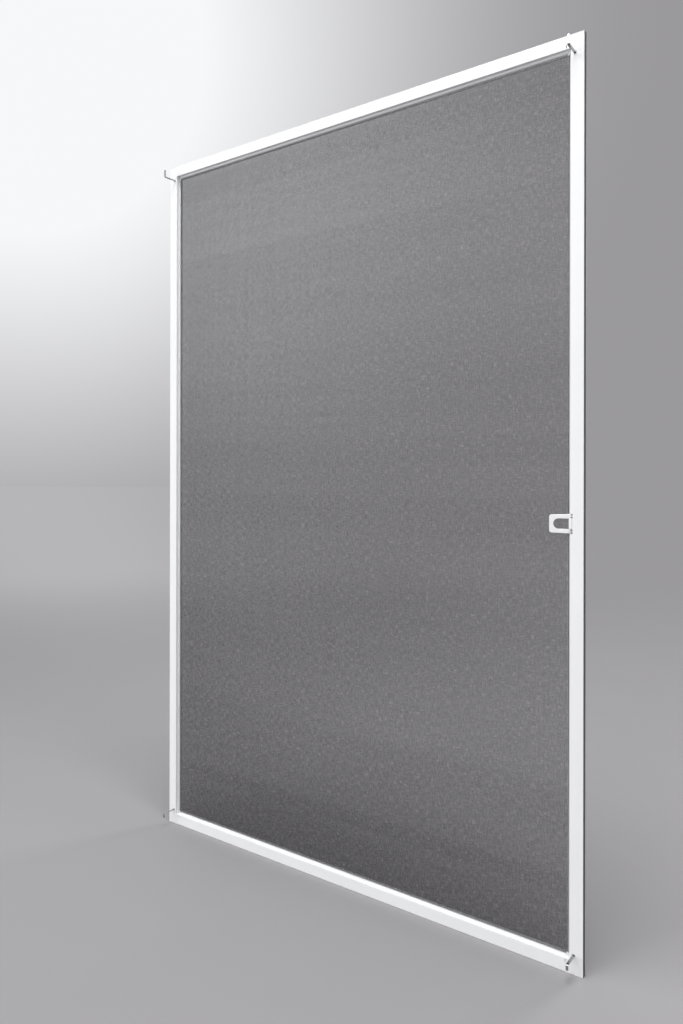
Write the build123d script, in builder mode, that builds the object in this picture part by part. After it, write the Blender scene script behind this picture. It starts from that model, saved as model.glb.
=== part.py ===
"""Window insect screen: a slim aluminium frame that hangs in a window opening on four bent hooks.

Four hollow rails are joined by four moulded corner blocks. A fibreglass mesh is held in a groove
round the opening by four splines, a dark pile seal runs round the outer edge, and a plastic pull
tab is clipped into the right rail. All lengths are in millimetres. X runs to the right, Y runs from
the room side to the outside, and Z is up. The origin is under the middle of the whole object.
"""

import os

from build123d import *

os.makedirs("parts", exist_ok=True)

# Driving dimensions of the screen
screen_width = 960.0
screen_height = 1500.0
frame_depth = 11.5

# Rail section, measured from the outer edge inwards and from the front face backwards
face_width = 21.5
ledge_width = 3.2
groove_width = 2.6
lip_width = 0.9
groove_depth = 3.1
groove_floor = 0.9
rail_wall = 1.1
edge_radius = 0.5

# Seal channel in the outer side of the rails, and the pile seal in it
channel_depth = 4.0
channel_wall = 0.9
mouth_lip_thickness = 0.7
mouth_lip_reach = 0.4
seal_backing_thickness = 0.9
seal_stand = 0.35
seal_clearance = 0.1
seal_crown_radius = 0.3

# Corner blocks and the plugs that hold the rails on them
joint_gap = 0.15
plug_length = 42.0
plug_clearance = 0.12
plug_relief = 0.5
plug_rib_length = 3.0
plug_rib_count = 4
plug_tip_length = 3.0
plug_tip_taper = 12.0
tongue_width = 2.4
tongue_start = 23.3
tongue_end = 27.6
tongue_thickness = 0.8
tongue_clearance = 0.1

# Unused hook slot at each end of the top and bottom rails
spare_slot_length = 1.2
spare_slot_width = 5.6
spare_slot_from_edge = 17.6

# Bent steel hooks, two turned up at the top and two turned down at the bottom
hook_width = 4.0
hook_thickness = 1.5
hook_bend_radius = 1.0
hook_reach = 30.0
hook_from_edge = 14.9
hook_from_corner = 1.5
hook_foot_length = 18.0
top_hook_height = 16.3
bottom_hook_height = 9.5
hook_tip_radius = 1.6
hook_clearance = 0.15

# Mesh, with every eighth thread standing as a ridge and a few of its many openings cut through
thread_thickness = 0.28
mesh_thickness = 0.46
mesh_wall = 0.14
thread_pitch_across = 25.4 / 18
thread_pitch_up = 25.4 / 16
threads_per_ridge = 8
gap_columns = 10
gap_rows = 12
gap_margin = 0.8
hem_thickness = 0.3
hem_clearance = 0.7

# Spline that grips the mesh in the groove, its rounded top a little below the ledge
spline_gap = 0.1
spline_recess = 0.7
spline_crown_height = 0.6
spline_barb = 0.2
spline_barb_height = 0.6
spline_foot_clearance = 0.3

# Pull tab on the right rail
tab_height_above_bottom = 718.0
tab_root_width = 31.0
tab_tip_width = 29.0
tab_reach = 33.6
tab_thickness = 2.0
tab_tilt = 14.5
tab_root_setback = 2.6
tab_corner_radius = 4.0
tab_web = 6.5
tab_leg_width = 6.2
tab_bar_width = 2.0
tab_edge_bevel = 0.4
tab_tail_length = 5.0
tab_tail_width = 2.2
tab_tail_barb = 0.6
tab_slot_clearance = 0.4
tab_slot_reach = 2.6
tab_lip_width = 15.0
tab_lip_reach = 2.7
tab_lip_thickness = 1.2
tab_lip_clearance = 0.1
tab_root_clearance = 0.4

# Places that follow from the sizes above
groove_start = face_width + ledge_width
groove_end = groove_start + groove_width
ledge_setback = frame_depth - groove_floor - groove_depth
rail_width = groove_end + lip_width
chamber_start = channel_depth + rail_wall
chamber_end = face_width - rail_wall
chamber_height = frame_depth - 2 * rail_wall
half_width = screen_width / 2
front_y = (hook_reach - frame_depth) / 2
bottom_z = seal_stand
top_z = bottom_z + screen_height

face_plane = Plane(origin=(0, front_y, 0), x_dir=(1, 0, 0), z_dir=(0, -1, 0))

# Each side runs clockwise, seen from the room, from the outer corner where it starts
side_start = {
    "left": Vector(-half_width, front_y, bottom_z),
    "top": Vector(-half_width, front_y, top_z),
    "right": Vector(half_width, front_y, top_z),
    "bottom": Vector(half_width, front_y, bottom_z),
}
side_along = {
    "left": Vector(0, 0, 1),
    "top": Vector(1, 0, 0),
    "right": Vector(0, 0, -1),
    "bottom": Vector(-1, 0, 0),
}
side_inward = {
    "left": Vector(1, 0, 0),
    "top": Vector(0, 0, -1),
    "right": Vector(-1, 0, 0),
    "bottom": Vector(0, 0, 1),
}
side_length = {
    "left": screen_height,
    "top": screen_width,
    "right": screen_height,
    "bottom": screen_width,
}


def section_plane(side, distance):
    """Plane across a side, with x from its outer edge inwards and y from the front backwards."""
    start = side_start[side] + side_along[side] * distance
    return Plane(origin=start, x_dir=side_inward[side], z_dir=side_along[side])


def mitre_planes(side, gap):
    """The two planes that cut a strip of this side at 45 degrees, a gap short of its corners."""
    along = side_along[side]
    inward = side_inward[side]
    first = (along - inward).normalized()
    last = (along * -1 - inward).normalized()
    end = side_start[side] + along * side_length[side]
    return (
        Plane(origin=side_start[side] + first * gap, z_dir=first),
        Plane(origin=end + last * gap, z_dir=last),
    )


def cut_rectangle(start, top, width, height):
    """Takes a rectangle out of the open sketch, from its corner nearest the outer front edge."""
    with Locations((start, top)):
        Rectangle(width, height, align=(Align.MIN, Align.MIN), mode=Mode.SUBTRACT)


# Rails: one hollow section with a face, a set-back ledge, the mesh groove and the seal channel
for side in side_start:
    upright = side in ("left", "right")
    rail_length = side_length[side] - 2 * rail_width
    with BuildPart() as rail:
        with BuildSketch(section_plane(side, rail_width)):
            Rectangle(rail_width, frame_depth, align=(Align.MIN, Align.MIN))
            cut_rectangle(face_width, 0, rail_width - face_width, ledge_setback)
            cut_rectangle(groove_end, ledge_setback, lip_width, mesh_thickness)
            cut_rectangle(groove_start, ledge_setback, groove_width, groove_depth)
            cut_rectangle(
                mouth_lip_thickness,
                channel_wall,
                channel_depth - mouth_lip_thickness,
                frame_depth - 2 * channel_wall,
            )
            cut_rectangle(
                0,
                channel_wall + mouth_lip_reach,
                mouth_lip_thickness,
                frame_depth - 2 * (channel_wall + mouth_lip_reach),
            )
            cut_rectangle(chamber_start, rail_wall, chamber_end - chamber_start, chamber_height)
        extrude(amount=rail_length)
        front_edges = rail.edges().filter_by(Axis((0, 0, 0), side_along[side])).group_by(Axis.Y)[0]
        fillet(front_edges, edge_radius)
        # A notch at each end of the face wall lets a hook through, or is a spare slot for one
        if upright:
            notch_length = joint_gap + hook_from_corner + hook_thickness + hook_bend_radius
            notch_width = hook_width + 2 * hook_clearance
            notch_middle = hook_from_edge
        else:
            notch_length = spare_slot_length
            notch_width = spare_slot_width
            notch_middle = spare_slot_from_edge
        for end_distance, direction in ((rail_width, 1), (side_length[side] - rail_width, -1)):
            with BuildSketch(section_plane(side, end_distance)):
                with Locations((notch_middle, rail_wall / 2)):
                    Rectangle(notch_width, rail_wall)
            extrude(amount=direction * notch_length, mode=Mode.SUBTRACT)
        if side == "right":
            # Two slots through the inner edge of the face take the tails of the pull tab
            slot_width = tab_leg_width + 2 * tab_slot_clearance
            slot_depth = tab_root_setback + tab_thickness
            slot_reach = face_width - chamber_end + tab_slot_reach
            leg_offset = (tab_root_width - tab_leg_width) / 2
            with BuildSketch(face_plane):
                with Locations((half_width - face_width, bottom_z + tab_height_above_bottom)):
                    with Locations((0, leg_offset), (0, -leg_offset)):
                        Rectangle(slot_reach, slot_width, align=(Align.MIN, Align.CENTER))
            extrude(amount=-slot_depth, mode=Mode.SUBTRACT)
    rail.part.label = side + "_rail"
    export_step(rail.part, "parts/" + rail.part.label + ".step")


# Corner blocks: the rail section turned through the corner, with a ribbed plug for each rail
corner_sides = {
    "bottom_left": ("bottom", "left"),
    "top_left": ("left", "top"),
    "top_right": ("top", "right"),
    "bottom_right": ("right", "bottom"),
}


def corner_point(corner, distance):
    """The point in the face plane that lies this far inwards from both outer edges of a corner."""
    inward_x = 1 if "left" in corner else -1
    inward_z = 1 if "bottom" in corner else -1
    outer_z = bottom_z if "bottom" in corner else top_z
    return (inward_x * (distance - half_width), outer_z + inward_z * distance)


def corner_square(corner, start, end, mode=Mode.ADD):
    """A square in the open sketch, from one distance to another inwards from both outer edges."""
    with Locations(corner_point(corner, (start + end) / 2)):
        Rectangle(end - start, end - start, mode=mode)


def corner_tongue(corner, start, end):
    """A slot in the open sketch that points inwards from the corner, between two distances."""
    slope = 45 if corner in ("bottom_left", "top_right") else -45
    with Locations(corner_point(corner, (start + end) / 2)):
        SlotCenterToCenter((end - start) * 2**0.5, tongue_width, rotation=slope)


block_width = rail_width - joint_gap
mouth_height = frame_depth - 2 * (channel_wall + mouth_lip_reach)
for corner, (side_in, side_out) in corner_sides.items():
    with BuildPart() as block:
        with BuildSketch(face_plane):
            corner_square(corner, 0, block_width)
        extrude(amount=-frame_depth)
        with BuildSketch(face_plane):
            corner_square(corner, face_width, block_width)
        extrude(amount=-ledge_setback, mode=Mode.SUBTRACT)
        with BuildSketch(face_plane.offset(-ledge_setback)):
            corner_square(corner, groove_end, block_width)
        extrude(amount=-mesh_thickness, mode=Mode.SUBTRACT)
        with BuildSketch(face_plane.offset(-ledge_setback)):
            corner_square(corner, groove_start, block_width)
            corner_square(corner, groove_end, block_width, mode=Mode.SUBTRACT)
        extrude(amount=-groove_depth, mode=Mode.SUBTRACT)
        with BuildSketch(face_plane.offset(-channel_wall)):
            corner_square(corner, mouth_lip_thickness, block_width)
            corner_square(corner, channel_depth, block_width, mode=Mode.SUBTRACT)
        extrude(amount=2 * channel_wall - frame_depth, mode=Mode.SUBTRACT)
        with BuildSketch(face_plane.offset(-channel_wall - mouth_lip_reach)):
            corner_square(corner, 0, block_width)
            corner_square(corner, mouth_lip_thickness, block_width, mode=Mode.SUBTRACT)
        extrude(amount=-mouth_height, mode=Mode.SUBTRACT)

        # A small tongue reaches over the groove and holds down the corner of the mesh
        tongue_front = face_plane.offset(tongue_clearance + tongue_thickness - ledge_setback)
        with BuildSketch(tongue_front):
            corner_tongue(corner, tongue_start, tongue_end)
        extrude(amount=-tongue_thickness)
        with BuildSketch(tongue_front):
            corner_tongue(corner, tongue_start, groove_start - tongue_width / 2)
        extrude(amount=-tongue_thickness - tongue_clearance)

        # The plugs are slimmer between their ribs and taper at the tip
        for side, direction, root in (
            (side_in, -1, side_length[side_in] - block_width),
            (side_out, 1, block_width),
        ):
            middle = ((chamber_start + chamber_end) / 2, frame_depth / 2)
            rib_size = (
                chamber_end - chamber_start - 2 * plug_clearance,
                chamber_height - 2 * plug_clearance,
            )
            core_size = (rib_size[0] - 2 * plug_relief, rib_size[1] - 2 * plug_relief)
            core_length = plug_length - plug_tip_length
            with BuildSketch(section_plane(side, root)):
                with Locations(middle):
                    Rectangle(*core_size)
            extrude(amount=direction * core_length)
            rib_pitch = (core_length - plug_rib_length) / plug_rib_count
            for number in range(1, plug_rib_count + 1):
                with BuildSketch(section_plane(side, root + direction * number * rib_pitch)):
                    with Locations(middle):
                        Rectangle(*rib_size)
                extrude(amount=direction * plug_rib_length)
            with BuildSketch(section_plane(side, root + direction * core_length)):
                with Locations(middle):
                    Rectangle(*core_size)
            extrude(amount=direction * plug_tip_length, taper=plug_tip_taper)

            # A pocket in the plug takes the foot of the hook, or lies behind the spare slot
            pocket_depth = rail_wall + hook_clearance * 2 + hook_thickness
            if side in ("left", "right"):
                pocket_length = hook_from_corner + joint_gap + hook_foot_length + hook_clearance
                pocket_width = hook_width + 2 * hook_clearance
                pocket_middle = hook_from_edge
            else:
                pocket_length = joint_gap + spare_slot_length
                pocket_width = spare_slot_width
                pocket_middle = spare_slot_from_edge
            with BuildSketch(section_plane(side, root)):
                with Locations((pocket_middle, pocket_depth / 2)):
                    Rectangle(pocket_width, pocket_depth)
            extrude(amount=direction * pocket_length, mode=Mode.SUBTRACT)
    block.part.label = corner + "_corner"
    export_step(block.part, "parts/" + block.part.label + ".step")


# Hooks: flat strip, its foot behind the face wall, its leg out through the notch, its tip turned
for corner, (side_in, side_out) in corner_sides.items():
    upright = side_in if side_in in ("left", "right") else side_out
    inward_x = 1 if "left" in corner else -1
    inward_z = 1 if "bottom" in corner else -1
    outer_z = bottom_z if "bottom" in corner else top_z
    turn_height = bottom_hook_height if "bottom" in corner else top_hook_height
    leg_z = outer_z + inward_z * (rail_width + hook_from_corner + hook_thickness / 2)
    foot_y = front_y + rail_wall + hook_clearance + hook_thickness / 2
    tip_y = front_y - hook_reach + hook_thickness / 2
    strip_middle = -inward_x * half_width + inward_x * hook_from_edge
    with BuildPart() as hook:
        with BuildSketch(Plane.YZ.offset(strip_middle)):
            with BuildLine():
                FilletPolyline(
                    (foot_y, leg_z + inward_z * (hook_foot_length - hook_thickness / 2)),
                    (foot_y, leg_z),
                    (tip_y, leg_z),
                    (tip_y, leg_z - inward_z * (turn_height - hook_thickness / 2)),
                    radius=hook_bend_radius + hook_thickness / 2,
                )
            trace(line_width=hook_thickness)
        extrude(amount=hook_width / 2, both=True)
        tip_faces = hook.faces().sort_by(Axis.Z)
        tip_face = tip_faces[0] if "bottom" in corner else tip_faces[-1]
        fillet(tip_face.edges().filter_by(Axis.Y), hook_tip_radius)
    hook.part.label = corner + "_hook"
    export_step(hook.part, "parts/" + hook.part.label + ".step")


# Mesh: one thin wall, its upright threads as ridges in front and its cross threads behind
groove_mesh_edge = groove_end - hem_thickness
mesh_middle_z = bottom_z + screen_height / 2
field_width = screen_width - 2 * rail_width
field_height = screen_height - 2 * rail_width
column_count = round(field_width / (thread_pitch_across * threads_per_ridge))
row_count = round(field_height / (thread_pitch_up * threads_per_ridge))
column_pitch = field_width / column_count
row_pitch = field_height / row_count
ridge_height = (mesh_thickness - mesh_wall) / 2
with BuildPart() as mesh:
    mesh_front = face_plane.offset(-ledge_setback)
    with BuildSketch(mesh_front):
        with Locations((0, mesh_middle_z)):
            Rectangle(screen_width - 2 * groove_mesh_edge, screen_height - 2 * groove_mesh_edge)
    extrude(amount=-mesh_thickness)
    # The edge of the mesh is turned back into the groove beside the spline
    with BuildSketch(mesh_front):
        with Locations((0, mesh_middle_z)):
            Rectangle(screen_width - 2 * groove_mesh_edge, screen_height - 2 * groove_mesh_edge)
            Rectangle(screen_width - 2 * groove_end, screen_height - 2 * groove_end, mode=Mode.SUBTRACT)
    extrude(amount=hem_clearance - groove_depth)
    with BuildSketch(mesh_front):
        with Locations((0, mesh_middle_z)):
            with GridLocations(column_pitch, 0, column_count, 1):
                Rectangle(column_pitch - thread_thickness, field_height)
    extrude(amount=-ridge_height, mode=Mode.SUBTRACT)
    with BuildSketch(mesh_front.offset(-mesh_thickness)):
        with Locations((0, mesh_middle_z)):
            with GridLocations(0, row_pitch, 1, row_count):
                Rectangle(field_width, row_pitch - thread_thickness)
    extrude(amount=ridge_height, mode=Mode.SUBTRACT)
    # Openings right through the wall, each in the middle of a cell between ridges
    gap_places = []
    for column in range(gap_columns):
        for row in range(gap_rows):
            cell_column = int((column + 0.5) * column_count / gap_columns)
            cell_row = int((row + 0.5) * row_count / gap_rows)
            gap_x = (cell_column + 0.5) * column_pitch - field_width / 2
            gap_z = (cell_row + 0.5) * row_pitch - field_height / 2 + mesh_middle_z
            gap_places.append((gap_x, gap_z))
    with BuildSketch(mesh_front):
        with Locations(*gap_places):
            Rectangle(column_pitch - 2 * gap_margin, row_pitch - 2 * gap_margin)
    extrude(amount=-mesh_thickness, mode=Mode.SUBTRACT)
mesh.part.label = "insect_mesh"
export_step(mesh.part, "parts/insect_mesh.step")


# Splines: a cord with a rounded top and a barb on each side, pressed into the groove
spline_start = groove_start + spline_gap
spline_end = groove_end - hem_thickness - spline_gap
spline_left = spline_start + spline_barb
spline_right = spline_end - spline_barb
spline_top = ledge_setback + spline_recess
spline_shoulder = spline_top + spline_crown_height
spline_foot = ledge_setback + groove_depth - spline_foot_clearance
for side in side_start:
    with BuildPart() as spline:
        with BuildSketch(section_plane(side, 0)):
            with BuildLine():
                ThreePointArc(
                    (spline_start, spline_shoulder),
                    ((spline_start + spline_end) / 2, spline_top),
                    (spline_end, spline_shoulder),
                )
                Polyline(
                    (spline_end, spline_shoulder),
                    (spline_right, spline_shoulder + spline_barb_height),
                    (spline_right, spline_foot),
                    (spline_left, spline_foot),
                    (spline_left, spline_shoulder + spline_barb_height),
                    (spline_start, spline_shoulder),
                )
            make_face()
        extrude(amount=side_length[side])
        for cut_plane in mitre_planes(side, spline_gap):
            split(bisect_by=cut_plane, keep=Keep.TOP)
    spline.part.label = side + "_spline"
    export_step(spline.part, "parts/" + spline.part.label + ".step")


# Seals: a stiff backing strip behind the channel lips and a dense pile that stands just proud
for side in side_start:
    pile_width = mouth_height - 2 * seal_clearance
    backing_width = frame_depth - 2 * (channel_wall + seal_clearance)
    pile_depth = channel_depth - seal_clearance + seal_stand
    backing_start = channel_depth - seal_clearance - seal_backing_thickness
    with BuildPart() as seal:
        with BuildSketch(section_plane(side, -seal_stand)) as seal_section:
            with Locations((-seal_stand, frame_depth / 2)):
                Rectangle(pile_depth, pile_width, align=(Align.MIN, Align.CENTER))
            fillet(seal_section.vertices().group_by(Axis.X)[0], seal_crown_radius)
            with Locations((backing_start, frame_depth / 2)):
                Rectangle(seal_backing_thickness, backing_width, align=(Align.MIN, Align.CENTER))
        extrude(amount=side_length[side] + 2 * seal_stand)
        for cut_plane in mitre_planes(side, seal_clearance):
            split(bisect_by=cut_plane, keep=Keep.TOP)
    seal.part.label = side + "_seal"
    export_step(seal.part, "parts/" + seal.part.label + ".step")


# Pull tab: a moulded loop that leans towards the room, its legs snapped into the right rail
edge_x = half_width - face_width
tab_middle_z = bottom_z + tab_height_above_bottom
leg_offset = (tab_root_width - tab_leg_width) / 2
opening_height = tab_tip_width - 2 * tab_leg_width
opening_start = tab_root_clearance + tab_bar_width
opening_end = tab_reach - tab_web - opening_height / 2
tab_plane = Plane(
    origin=(edge_x, front_y + tab_root_setback, tab_middle_z),
    x_dir=Vector(-1, 0, 0).rotate(Axis.Z, tab_tilt),
    z_dir=Vector(0, 1, 0).rotate(Axis.Z, tab_tilt),
)
with BuildPart() as tab:
    with BuildSketch(tab_plane.offset(-tab_thickness / 2)) as loop:
        with BuildLine():
            Polyline(
                (tab_root_clearance, -tab_root_width / 2),
                (tab_reach, -tab_tip_width / 2),
                (tab_reach, tab_tip_width / 2),
                (tab_root_clearance, tab_root_width / 2),
                close=True,
            )
        make_face()
        fillet(loop.vertices().group_by(Axis.X)[-1], tab_corner_radius)
        with Locations(((opening_start + opening_end) / 2, 0)):
            Rectangle(opening_end - opening_start, opening_height, mode=Mode.SUBTRACT)
        with Locations((opening_end, 0)):
            Circle(opening_height / 2, mode=Mode.SUBTRACT)
    extrude(amount=tab_thickness)
    chamfer(tab.edges().filter_by(tab_plane), tab_edge_bevel)
    # A slim tail on each leg runs on through the slot in the rail and ends in a small barb
    with BuildSketch(tab_plane.offset(-tab_thickness / 2)):
        with Locations((tab_root_clearance + tab_edge_bevel, 0)):
            with Locations((0, leg_offset), (0, -leg_offset)):
                tail_length = tab_tail_length + tab_root_clearance + tab_edge_bevel
                Rectangle(tail_length, tab_tail_width, align=(Align.MAX, Align.CENTER))
    extrude(amount=tab_thickness)
    with BuildSketch(tab_plane.offset(tab_thickness / 2)):
        with Locations((-tab_tail_length, 0)):
            with Locations((0, leg_offset), (0, -leg_offset)):
                Rectangle(
                    tab_tail_length - rail_wall - tab_slot_clearance,
                    tab_tail_width,
                    align=(Align.MIN, Align.CENTER),
                )
    extrude(amount=tab_tail_barb)
    # A lip between the legs folds over the front of the rail
    with BuildSketch(Plane.XY.offset(tab_middle_z - tab_lip_width / 2)) as lip_section:
        with BuildLine():
            lip_back = front_y - tab_lip_clearance
            lip_front = lip_back - tab_lip_thickness
            bar_end = edge_x - tab_lip_clearance - tab_bar_width
            Polyline(
                (edge_x - tab_lip_clearance, front_y + tab_root_setback),
                (edge_x - tab_lip_clearance, lip_back),
                (edge_x + tab_lip_reach, lip_back),
                (edge_x + tab_lip_reach, lip_front),
                (bar_end, lip_front),
                (bar_end, front_y + tab_root_setback),
                close=True,
            )
        make_face()
        chamfer(lip_section.vertices().group_by(Axis.Y)[0], tab_edge_bevel)
    extrude(amount=tab_lip_width)
tab.part.label = "pull_tab"
export_step(tab.part, "parts/pull_tab.step")
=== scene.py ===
"""A hanging window insect screen, dressed piece by piece in the order in which it is put together."""

import math
import random

import bmesh
import bpy
from mathutils import Matrix, Vector


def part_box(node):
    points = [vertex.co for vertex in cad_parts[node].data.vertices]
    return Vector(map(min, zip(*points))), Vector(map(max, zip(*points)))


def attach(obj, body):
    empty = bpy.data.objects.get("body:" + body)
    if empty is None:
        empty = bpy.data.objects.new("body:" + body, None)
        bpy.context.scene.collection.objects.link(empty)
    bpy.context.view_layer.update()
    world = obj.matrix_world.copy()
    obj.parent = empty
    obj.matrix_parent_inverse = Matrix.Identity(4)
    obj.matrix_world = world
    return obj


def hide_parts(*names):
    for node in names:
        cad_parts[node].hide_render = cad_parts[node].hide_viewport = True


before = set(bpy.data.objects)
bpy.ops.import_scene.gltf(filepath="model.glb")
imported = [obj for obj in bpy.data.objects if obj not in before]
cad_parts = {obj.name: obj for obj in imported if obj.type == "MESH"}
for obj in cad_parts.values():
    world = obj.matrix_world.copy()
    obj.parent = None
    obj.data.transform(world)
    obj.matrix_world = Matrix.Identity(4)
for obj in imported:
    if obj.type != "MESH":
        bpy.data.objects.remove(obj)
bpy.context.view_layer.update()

MM = 0.001


# Rails: four lengths of hollow aluminium section, cut square between the corner blocks.
# They are powder coated white, a baked skin with a very fine orange-peel surface. Inside the
# hollow of the section the colour is a dark grey painted shade, for the little light that gets in.
coat_dark = (0.83, 0.84, 0.845, 1)
coat_light = (0.88, 0.885, 0.885, 1)
hollow_painted_shade = (0.17, 0.17, 0.175, 1)
shade_from_edge = 5.0 * MM
shade_to_edge = 20.5 * MM
shade_inset = 1.0 * MM
rails = ("left_rail", "top_rail", "right_rail", "bottom_rail")


class Finish:
    """One output in a material's nodes. Sums and products of it add the Math nodes they need."""

    def __init__(self, tree, made=None, output=0):
        self.tree = tree
        self.made = made
        self.socket = made.outputs[output] if made and len(made.outputs) else None

    def node(self, kind, settings=None, inputs=None, output=0):
        """Adds any other node: its settings first, then the values or links of its inputs."""
        made = self.tree.nodes.new(kind)
        for name, value in (settings or {}).items():
            setattr(made, name, value)
        for name, value in (inputs or {}).items():
            if isinstance(value, Finish):
                self.tree.links.new(value.socket, made.inputs[name])
            else:
                made.inputs[name].default_value = value
        return Finish(self.tree, made, output)

    def maths(self, operation, a, b):
        return self.node("ShaderNodeMath", {"operation": operation}, {0: a, 1: b})

    def __add__(self, other):
        return self.maths("ADD", self, other)

    __radd__ = __add__

    def __mul__(self, other):
        return self.maths("MULTIPLY", self, other)

    __rmul__ = __mul__

    def __sub__(self, other):
        return self.maths("SUBTRACT", self, other)

    def __rsub__(self, other):
        return self.maths("SUBTRACT", other, self)

    def __gt__(self, other):
        return self.maths("GREATER_THAN", self, other)

    def __lt__(self, other):
        return self.maths("LESS_THAN", self, other)

    def __abs__(self):
        return self.maths("ABSOLUTE", self, 0.0)


def new_finish(name):
    """An empty material and the start of its nodes."""
    material = bpy.data.materials.new(name)
    material.use_nodes = True
    material.node_tree.nodes.clear()
    return material, Finish(material.node_tree)


def close_finish(start, shader):
    """Joins the shader to the material's output."""
    start.node("ShaderNodeOutputMaterial", {}, {"Surface": shader})


def skin(start, **sockets):
    """The shader of a solid surface, from the values or links of its sockets."""
    inputs = {name.replace("_", " "): value for name, value in sockets.items()}
    return start.node("ShaderNodeBsdfPrincipled", {}, inputs)


def places(start, stretch=(1, 1, 1)):
    """Object coordinates in metres, stretched where a pattern runs along a piece."""
    here = start.node("ShaderNodeTexCoord", output="Object")
    return start.node("ShaderNodeMapping", {}, {"Vector": here, "Scale": stretch})


def speckle(start, where, scale, detail=2.0):
    """Soft noise from 0 to 1, with its scale in spots to the metre."""
    inputs = {"Vector": where, "Scale": scale, "Detail": detail}
    return start.node("ShaderNodeTexNoise", {}, inputs)


def blend_colour(start, share, first, second):
    """A colour between two, by a share that changes over the surface."""
    inputs = {0: share, 6: first, 7: second}
    return start.node("ShaderNodeMix", {"data_type": "RGBA"}, inputs, output=2)


def relief(start, height, depth, strength=1.0):
    """Bump from a height between 0 and 1 and its real depth in metres."""
    inputs = {"Height": height, "Distance": depth, "Strength": strength}
    return start.node("ShaderNodeBump", {}, inputs)


def dress(nodes, material):
    """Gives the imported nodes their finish."""
    for name in nodes:
        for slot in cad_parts[name].material_slots:
            slot.material = material


def painted_shade_in_hollow(start, here):
    """Painted shade mask: 1 inside the hollow of the rails and 0 on their outer skin, by the distance
    from the frame's edges.
    """
    low = [min(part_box(name)[0][axis] for name in rails) for axis in range(3)]
    high = [max(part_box(name)[1][axis] for name in rails) for axis in range(3)]
    parted = start.node("ShaderNodeSeparateXYZ", {}, {"Vector": here}, "X")
    upright = Finish(start.tree, parted.made, "Z") - (low[2] + high[2]) / 2
    depth = Finish(start.tree, parted.made, "Y")
    from_side = high[0] - abs(parted)
    from_end = (high[2] - low[2]) / 2 - abs(upright)
    from_edge = start.maths("MINIMUM", from_side, from_end)
    return (
        (from_edge > shade_from_edge)
        * (from_edge < shade_to_edge)
        * (depth > low[1] + shade_inset)
        * (depth < high[1] - shade_inset)
    )


coat, start = new_finish("white_powder_coat")
here = places(start)
peel = speckle(start, here, 1100, 3.0)
cloud = speckle(start, here, 9)
white = blend_colour(start, cloud, coat_dark, coat_light)
# The hollow of the rails gets a painted shade, dark grey in place of the white coat
surface = skin(
    start,
    Base_Color=blend_colour(start, painted_shade_in_hollow(start, here), white, hollow_painted_shade),
    Roughness=0.46 + 0.1 * peel,
    Normal=relief(start, peel, 0.02 * MM, 0.5),
)
close_finish(start, surface)
dress(rails, coat)


# Corner blocks: injection-moulded white plastic, pushed into the rails on ribbed plugs.
# Their skin is matter than the coat on the rails, with the fine grain of the mould.
corner_dark = (0.80, 0.81, 0.81, 1)
corner_light = (0.85, 0.855, 0.85, 1)
corners = ("bottom_left", "top_left", "top_right", "bottom_right")

moulding, start = new_finish("white_corner_moulding")
here = places(start)
grain = speckle(start, here, 2600)
flow = speckle(start, here, 30)
surface = skin(
    start,
    Base_Color=blend_colour(start, flow, corner_dark, corner_light),
    Roughness=0.55 + 0.12 * grain,
    Normal=relief(start, grain, 0.02 * MM, 0.5),
)
close_finish(start, surface)
dress([corner + "_corner" for corner in corners], moulding)


# Hooks: bright cold-rolled steel strip, bent to shape, its foot held between rail and plug.
# The rolling leaves faint lines along the strip and a slightly uneven shine.
steel_dark = (0.33, 0.33, 0.33, 1)
steel_light = (0.45, 0.45, 0.445, 1)
rolled_lines = (6000, 300, 300)

steel, start = new_finish("bright_steel_strip")
lines = speckle(start, places(start, rolled_lines), 1)
bloom = speckle(start, places(start), 220, 3.0)
surface = skin(
    start,
    Base_Color=blend_colour(start, bloom, steel_dark, steel_light),
    Metallic=1.0,
    Roughness=0.12 + 0.12 * lines + 0.06 * bloom,
    Normal=relief(start, lines, 0.01 * MM, 0.4),
)
close_finish(start, surface)
dress([corner + "_hook" for corner in corners], steel)


# Mesh: glass-fibre threads in a dark vinyl coat, 18 to the inch across and 16 up, fused where
# they cross. It is stretched over the opening and its edge is turned back into the groove.
thread_width = 0.36 * MM
thread_depth = 0.46 * MM
cross_sunk = 0.02 * MM
inch = 25.4 * MM
pitch_across = inch / 18
pitch_up = inch / 16
upright_unevenness = 0.02
cross_unevenness = 0.05
band_unevenness = 0.06
narrowest_band = 4
widest_band = 50
hem_thickness = 0.3 * MM
mesh_low, mesh_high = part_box("insect_mesh")
mesh_size = [high - low for low, high in zip(mesh_low, mesh_high)]
mesh_middle = [(high + low) / 2 for low, high in zip(mesh_low, mesh_high)]
mesh_front = mesh_low[1]
loom = random.Random(18)


def thread_places(room, pitch, unevenness, pull_of_band):
    """Where the threads lie, from the middle of the mesh, in a loom's slightly uneven bands."""
    steps = []
    while len(steps) < round(room / pitch):
        pull = loom.gauss(0, pull_of_band)
        threads = range(loom.randint(narrowest_band, widest_band))
        steps += [1 + pull + loom.gauss(0, unevenness) for _ in threads]
    along = [sum(steps[:number]) for number in range(round(room / pitch) + 1)]
    return [(place / along[-1] - 0.5) * room for place in along]


def add_thread(weave, aside, up, size):
    """One straight thread, by how far its middle lies from the middle of the mesh."""
    centre = (mesh_middle[0] + aside, mesh_front + thread_depth / 2, mesh_middle[2] + up)
    bmesh.ops.create_cube(weave, size=1, matrix=Matrix.LocRotScale(centre, None, size))


weave = bmesh.new()
upright_size = (thread_width, thread_depth, mesh_size[2])
cross_size = (mesh_size[0], thread_depth - 2 * cross_sunk, thread_width)
for x in thread_places(mesh_size[0] - thread_width, pitch_across, upright_unevenness, 0):
    add_thread(weave, x, 0, upright_size)
for z in thread_places(mesh_size[2] - thread_width, pitch_up, cross_unevenness, band_unevenness):
    add_thread(weave, 0, z, cross_size)

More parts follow.
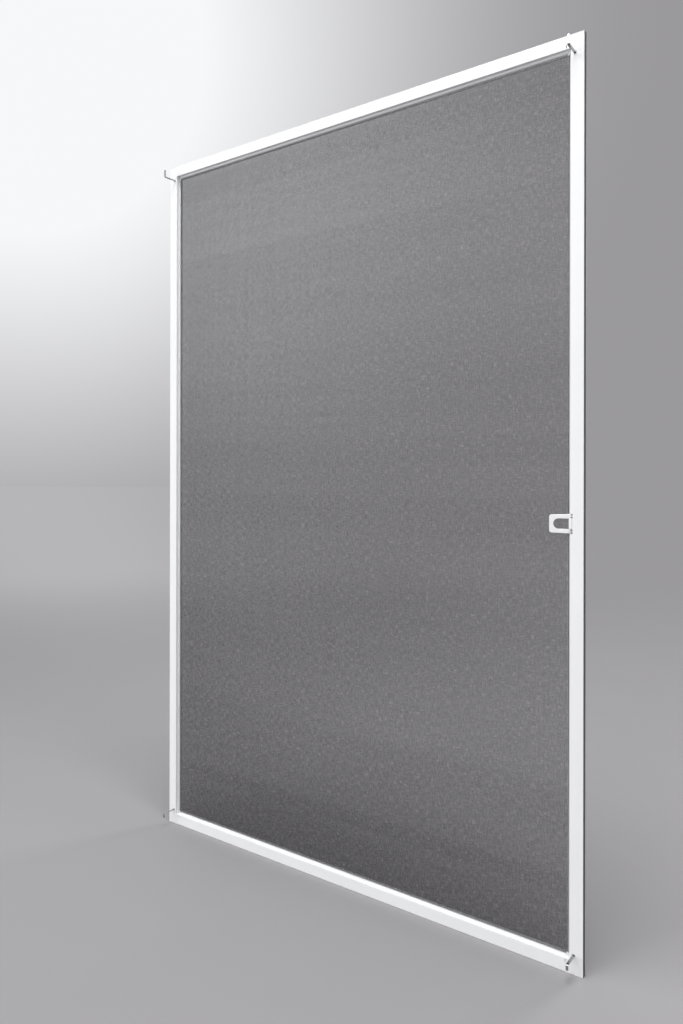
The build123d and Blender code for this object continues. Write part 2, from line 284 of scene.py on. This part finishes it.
# The turned edge is a narrow band that runs round the outer side of the groove
hem = bmesh.ops.create_circle(weave, segments=4, radius=math.sqrt(0.5))["verts"]
bmesh.ops.rotate(weave, verts=hem, matrix=Matrix.Rotation(math.pi / 4, 3, "Z"))
bmesh.ops.rotate(weave, verts=hem, matrix=Matrix.Rotation(math.pi / 2, 3, "X"))
bmesh.ops.scale(weave, verts=hem, vec=(mesh_size[0], 1, mesh_size[2]))
bmesh.ops.translate(weave, verts=hem, vec=(mesh_middle[0], mesh_front, mesh_middle[2]))
rim = list({edge for vert in hem for edge in vert.link_edges})
walls = bmesh.ops.extrude_edge_only(weave, edges=rim)["geom"]
turned = [part for part in walls if isinstance(part, bmesh.types.BMVert)]
bmesh.ops.translate(weave, verts=turned, vec=(0, mesh_size[1], 0))
faces = [part for part in walls if isinstance(part, bmesh.types.BMFace)]
bmesh.ops.recalc_face_normals(weave, faces=faces)
bmesh.ops.solidify(weave, geom=faces, thickness=hem_thickness)


def new_piece(name, shape, material):
    """Turns a finished bmesh into an object of the scene."""
    mesh = bpy.data.meshes.new(name)
    shape.to_mesh(mesh)
    shape.free()
    mesh.materials.append(material)
    piece = bpy.data.objects.new(name, mesh)
    bpy.context.scene.collection.objects.link(piece)
    return piece


# Painted highlight: the threads' colour is lighter where weft and warp streaks cross and in wide
# bands, for the light the coat catches
vinyl_dark = (0.006, 0.006, 0.007, 1)
vinyl_painted_highlight = (0.19, 0.181, 0.2, 1)
weft_streaks = (90, 1, 760)
warp_streaks = (560, 1, 90)
sheen_band_stretch = (1.5, 1, 14)
catch = {"From Min": 0.40, "From Max": 0.62}

vinyl, start = new_finish("dark_vinyl_thread")
strand = speckle(start, places(start), 2500)
weft = speckle(start, places(start, weft_streaks), 1, 1.0)
warp = speckle(start, places(start, warp_streaks), 1, 1.0)
bands = speckle(start, places(start, sheen_band_stretch), 1)
painted_sheen = start.node("ShaderNodeMapRange", {}, {"Value": weft, **catch})
painted_sheen = painted_sheen * start.node("ShaderNodeMapRange", {}, {"Value": warp, **catch})
painted_sheen = painted_sheen + 0.3 * (bands - 0.5)
surface = skin(
    start,
    Base_Color=blend_colour(start, painted_sheen, vinyl_dark, vinyl_painted_highlight),
    Roughness=0.4 + 0.15 * strand,
    Normal=relief(start, strand, 0.03 * MM, 0.5),
)
close_finish(start, surface)
woven = new_piece("woven_mesh", weave, vinyl)
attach(woven, "root")
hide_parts("insect_mesh")


# Splines: light grey extruded vinyl cord with barbed sides, pressed into the groove over the edge
# of the mesh. Its rounded top lies just below the ledge, as a thin grey line round the mesh.
cord_dark = (0.42, 0.42, 0.435, 1)
cord_light = (0.48, 0.48, 0.495, 1)
sides = ("left", "top", "right", "bottom")

cord_vinyl, start = new_finish("grey_spline_vinyl")
drag = speckle(start, places(start), 700, 3.0)
surface = skin(
    start,
    Base_Color=blend_colour(start, drag, cord_dark, cord_light),
    Roughness=0.5 + 0.12 * drag,
    Normal=relief(start, drag, 0.03 * MM, 0.5),
)
close_finish(start, surface)
dress([side + "_spline" for side in sides], cord_vinyl)


# Seals: dense dark pile woven on a stiff strip, slid into the channel in the outer side of the
# rails. It fills the gap between the screen and the window frame.
pile_dark = (0.05, 0.048, 0.047, 1)
pile_light = (0.15, 0.145, 0.14, 1)
pile_rows = (260, 900, 260)

pile, start = new_finish("dark_pile")
tufts = speckle(start, places(start), 1800, 3.0)
rows = speckle(start, places(start, pile_rows), 1)
surface = skin(
    start,
    Base_Color=blend_colour(start, tufts, pile_dark, pile_light),
    Roughness=0.85 + 0.15 * tufts,
    Normal=relief(start, tufts + rows, 0.3 * MM, 0.8),
)
close_finish(start, surface)
dress([side + "_seal" for side in sides], pile)


# Pull tab: a glossy white plastic loop clipped into the right rail, to pull the screen in by.
# It is moulded in one piece, with only the faint unevenness of a moulded skin.
tab_dark = (0.86, 0.865, 0.87, 1)
tab_light = (0.90, 0.90, 0.90, 1)

gloss, start = new_finish("white_pull_tab_plastic")
ripple = speckle(start, places(start), 160)
surface = skin(
    start,
    Base_Color=blend_colour(start, ripple, tab_dark, tab_light),
    Roughness=0.24 + 0.1 * ripple,
    Normal=relief(start, ripple, 0.05 * MM, 0.3),
)
close_finish(start, surface)
dress(("pull_tab",), gloss)


# Stage: a pale floor that fades into a plain studio wall with two wide pools of light, one on
# the upper left of the picture and one in front of the screen, which the steel hooks mirror.
wall_pool = (-0.76, 0.455, 0.465)
wall_pool_edge = 0.73
wall_pool_core = 0.98
front_pool = (-0.5, -0.7, 0.51)
front_pool_edge = 0.2
front_pool_core = 0.95
front_pool_strength = 0.8
pool_colour = (0.93, 0.935, 0.95, 1)
wall_colour = (0.325, 0.318, 0.33, 1)
floor_dark = (0.285, 0.28, 0.287, 1)
floor_light = (0.30, 0.295, 0.302, 1)
floor_radius = 60
fade_from = 0.8
fade_to = 5.5


def near_pool(start, direction, middle, edge, core):
    """0 outside a pool of light and 1 at its core, by the cosine of the angle to its middle."""
    inputs = {0: direction, 1: middle}
    cosine = start.node("ShaderNodeVectorMath", {"operation": "DOT_PRODUCT"}, inputs, "Value")
    inputs = {"Value": cosine, "From Min": edge, "From Max": core}
    return start.node("ShaderNodeMapRange", {}, inputs)


def lit_wall(start, direction):
    """The studio wall's colour in a direction, with pools of light that fall off smoothly."""
    wall = near_pool(start, direction, wall_pool, wall_pool_edge, wall_pool_core)
    front = near_pool(start, direction, front_pool, front_pool_edge, front_pool_core)
    share = wall * wall * wall + front_pool_strength * front * front
    return blend_colour(start, share, wall_colour, pool_colour)


ground = bmesh.new()
bmesh.ops.create_circle(ground, cap_ends=True, segments=96, radius=floor_radius)
plaster, start = new_finish("pale_floor")
here = places(start)
distance = start.node("ShaderNodeVectorMath", {"operation": "LENGTH"}, {0: here}, "Value")
outwards = start.node("ShaderNodeVectorMath", {"operation": "NORMALIZE"}, {0: here})
floor_colour = blend_colour(start, speckle(start, here, 3, 3.0), floor_dark, floor_light)
near = skin(start, Base_Color=floor_colour, Roughness=0.8)
# Far from the screen the floor glows with the wall's light, pools included, so that it meets the
# world without a horizon
far = start.node("ShaderNodeEmission", {}, {"Color": lit_wall(start, outwards), "Strength": 1.0})
fade = start.node(
    "ShaderNodeMapRange",
    {"interpolation_type": "SMOOTHSTEP"},
    {"Value": distance, "From Min": fade_from, "From Max": fade_to},
)
close_finish(start, start.node("ShaderNodeMixShader", {}, {0: fade, 1: near, 2: far}))
floor = new_piece("floor", ground, plaster)

studio = bpy.data.worlds.new("studio")
studio.use_nodes = True
studio.node_tree.nodes.clear()
start = Finish(studio.node_tree)
direction = start.node("ShaderNodeTexCoord", output="Generated")
wall = lit_wall(start, direction)
glow = start.node("ShaderNodeBackground", {}, {"Color": wall, "Strength": 1.0})
start.node("ShaderNodeOutputWorld", {}, {"Surface": glow})
bpy.context.scene.world = studio
bpy.context.scene.view_settings.view_transform = "Standard"


# Lights and camera: square soft boxes, all well outside the picture, and the camera where the
# photograph was taken from.
def soft_light(name, place, aim, size, power):
    """A square soft box that shines from a place at a point."""
    lamp = bpy.data.lights.new(name, "AREA")
    lamp.size = size
    lamp.energy = power
    holder = bpy.data.objects.new(name, lamp)
    holder.location = place
    holder.rotation_euler = (Vector(aim) - Vector(place)).to_track_quat("-Z", "Y").to_euler()
    bpy.context.scene.collection.objects.link(holder)


soft_light("key_light", (-2.2, -6.6, 4.9), (0, 0, 0.75), 1.9, 125)
soft_light("top_light", (0.5, -0.6, 4.2), (0, 0, 0.7), 1.6, 120)
soft_light("side_light", (8.0, -2.0, 2.6), (0, 0, 0.75), 2.4, 105)
soft_light("rear_light", (2.4, 7.0, 3.4), (0, 0, 0.75), 2.2, 190)
soft_light("low_fill", (-3.2, -4.3, 1.05), (0, 0, 0.4), 1.3, 60)

lens = bpy.data.cameras.new("camera")
lens.sensor_width = 36
lens.lens = 27.506
lens.shift_y = -0.0346
camera = bpy.data.objects.new("camera", lens)
camera.location = (0.8955, -1.21775, 0.79345)
camera.rotation_euler = (math.radians(90), -0.0016, math.radians(35.9))
bpy.context.scene.collection.objects.link(camera)
bpy.context.scene.camera = camera
